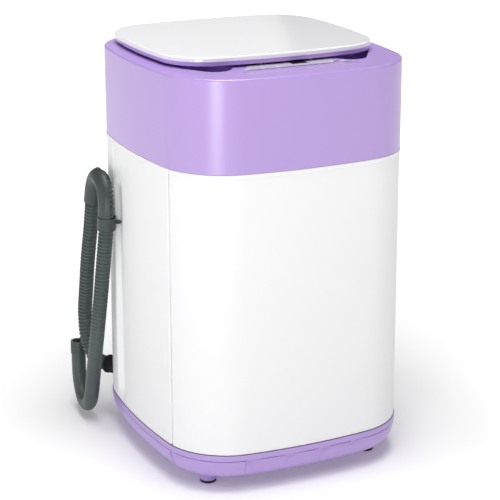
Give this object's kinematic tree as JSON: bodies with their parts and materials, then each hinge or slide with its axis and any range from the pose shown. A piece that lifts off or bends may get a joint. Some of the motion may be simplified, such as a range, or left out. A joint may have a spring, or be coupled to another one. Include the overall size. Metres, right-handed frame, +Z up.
{
  "type": "top load washing machine",
  "caption": "Compact upright top-loading washing machine with bowed sides, a flat hinged lid, a sprung tub with a spinning basket, and a drain hose clipped up beside it.",
  "frame": {"origin": "on the floor, under the middle of the cabinet", "axes": "+Z up, -Y towards the front with the controls, +X to the right seen from the front"},
  "size_m": [0.4665, 0.4835, 0.703],
  "materials": {
    "white_enamel": "gloss",
    "lid_white": "gloss",
    "lilac_plastic": "semi gloss moulded",
    "lid_frame_lilac": "semi gloss moulded",
    "foot_rubber": "matt",
    "hose_plastic": "satin",
    "silver_print": "satin print",
    "display_black": "gloss",
    "button_plastic": "satin",
    "circuit_board": "satin",
    "zinc_steel": "zinc plated",
    "grey_plastic": "matt",
    "tub_plastic": "matt",
    "stainless": "brushed",
    "hub_cast": "cast",
    "ring_plastic": "semi gloss",
    "filter_blue": "matt",
    "motor_body": "satin",
    "capacitor_shell": "satin"
  },
  "bodies": {
    "cabinet": {"base_pan": "lilac_plastic", "feet": "foot_rubber", "front_panel": "white_enamel", "left_panel": "white_enamel", "right_panel": "white_enamel", "rear_panel": "white_enamel", "rear_service_cover": "white_enamel", "service_screws": "zinc_steel", "top_rail": "white_enamel", "top_cover": "lilac_plastic", "control_overlay": "silver_print", "display_window": "display_black", "control_board": "circuit_board", "lid_hinge_pins": "zinc_steel", "lid_switch": "grey_plastic", "suspension_rods": "zinc_steel", "suspension_springs": "zinc_steel", "suspension_sockets": "grey_plastic", "capacitor": "capacitor_shell", "drain_pump": "grey_plastic", "sump_hose": "foot_rubber", "inner_drain_hose": "foot_rubber", "drain_outlet": "foot_rubber", "inlet_valve": "ring_plastic", "inlet_spout": "ring_plastic", "pressure_switch": "ring_plastic", "cord_gland": "foot_rubber", "drain_hose": "hose_plastic", "hose_guide": "hose_plastic", "hose_clip": "foot_rubber", "hose_end_cuff": "foot_rubber"},
    "lid": {"lid_shell": "lid_white", "lid_frame": "lid_frame_lilac", "lid_bumpers": "foot_rubber"},
    "tub": {"outer_tub": "tub_plastic", "tub_cover_ring": "tub_plastic", "tub_seal": "foot_rubber", "shaft_bearings": "zinc_steel", "clutch_housing": "hub_cast", "clutch_actuator": "grey_plastic", "drive_frame": "zinc_steel", "motor": "motor_body", "drive_belt": "foot_rubber"},
    "basket": {"wash_basket": "stainless", "basket_hub": "hub_cast", "balance_ring": "ring_plastic", "lint_filter": "filter_blue"},
    "agitator": {"pulsator": "ring_plastic", "pulsator_screw": "zinc_steel", "drive_shaft": "zinc_steel", "tub_pulley": "hub_cast"},
    "motor_rotor": {"motor_pulley": "zinc_steel"},
    "pump_rotor": {"pump_impeller": "filter_blue"},
    "button_1": {"button_1": "button_plastic"},
    "button_2": {"button_2": "button_plastic"},
    "button_3": {"button_3": "button_plastic"},
    "button_4": {"button_4": "button_plastic"},
    "button_5": {"button_5": "button_plastic"},
    "button_6": {"button_6": "button_plastic"}
  },
  "joints": [
    {"name": "lid_hinge", "type": "hinge", "parent": "cabinet", "child": "lid", "pos_m": [0, 0.207, 0.69], "axis": [-1, 0, 0], "range_deg": [0, 95]},
    {"name": "tub_bounce", "type": "slide", "parent": "cabinet", "child": "tub", "axis": [0, 0, 1], "range_m": [-0.008, 0.008], "stiffness_N_per_m": 3600, "springref_m": 0.0416, "deforming": ["suspension_springs", "sump_hose"]},
    {"name": "basket_spin", "type": "hinge", "parent": "tub", "child": "basket", "pos_m": [0, 0.008, 0.3], "axis": [0, 0, 1], "continuous": true},
    {"name": "agitator_spin", "type": "hinge", "parent": "tub", "child": "agitator", "pos_m": [0, 0.008, 0.25], "axis": [0, 0, 1], "continuous": true},
    {"name": "motor_spin", "type": "hinge", "parent": "tub", "child": "motor_rotor", "pos_m": [0.11865, -0.0605, 0.1], "axis": [0, 0, 1], "continuous": true},
    {"name": "pump_spin", "type": "hinge", "parent": "cabinet", "child": "pump_rotor", "pos_m": [-0.12, 0.1205, 0.07], "axis": [0, 0, 1], "continuous": true},
    {"name": "button_1_press", "type": "slide", "parent": "cabinet", "child": "button_1", "axis": [0, 0, -1], "range_m": [0, 0.0012], "stiffness_N_per_m": 400, "springref_m": -0.0005},
    {"name": "button_2_press", "type": "slide", "parent": "cabinet", "child": "button_2", "axis": [0, 0, -1], "range_m": [0, 0.0012], "stiffness_N_per_m": 400, "springref_m": -0.0005},
    {"name": "button_3_press", "type": "slide", "parent": "cabinet", "child": "button_3", "axis": [0, 0, -1], "range_m": [0, 0.0012], "stiffness_N_per_m": 400, "springref_m": -0.0005},
    {"name": "button_4_press", "type": "slide", "parent": "cabinet", "child": "button_4", "axis": [0, 0, -1], "range_m": [0, 0.0012], "stiffness_N_per_m": 400, "springref_m": -0.0005},
    {"name": "button_5_press", "type": "slide", "parent": "cabinet", "child": "button_5", "axis": [0, 0, -1], "range_m": [0, 0.0012], "stiffness_N_per_m": 400, "springref_m": -0.0005},
    {"name": "button_6_press", "type": "slide", "parent": "cabinet", "child": "button_6", "axis": [0, 0, -1], "range_m": [0, 0.0012], "stiffness_N_per_m": 400, "springref_m": -0.0005}
  ],
  "couplings": [
    {"joint": "motor_spin", "follows": "agitator_spin", "ratio": 3.3684}
  ]
}
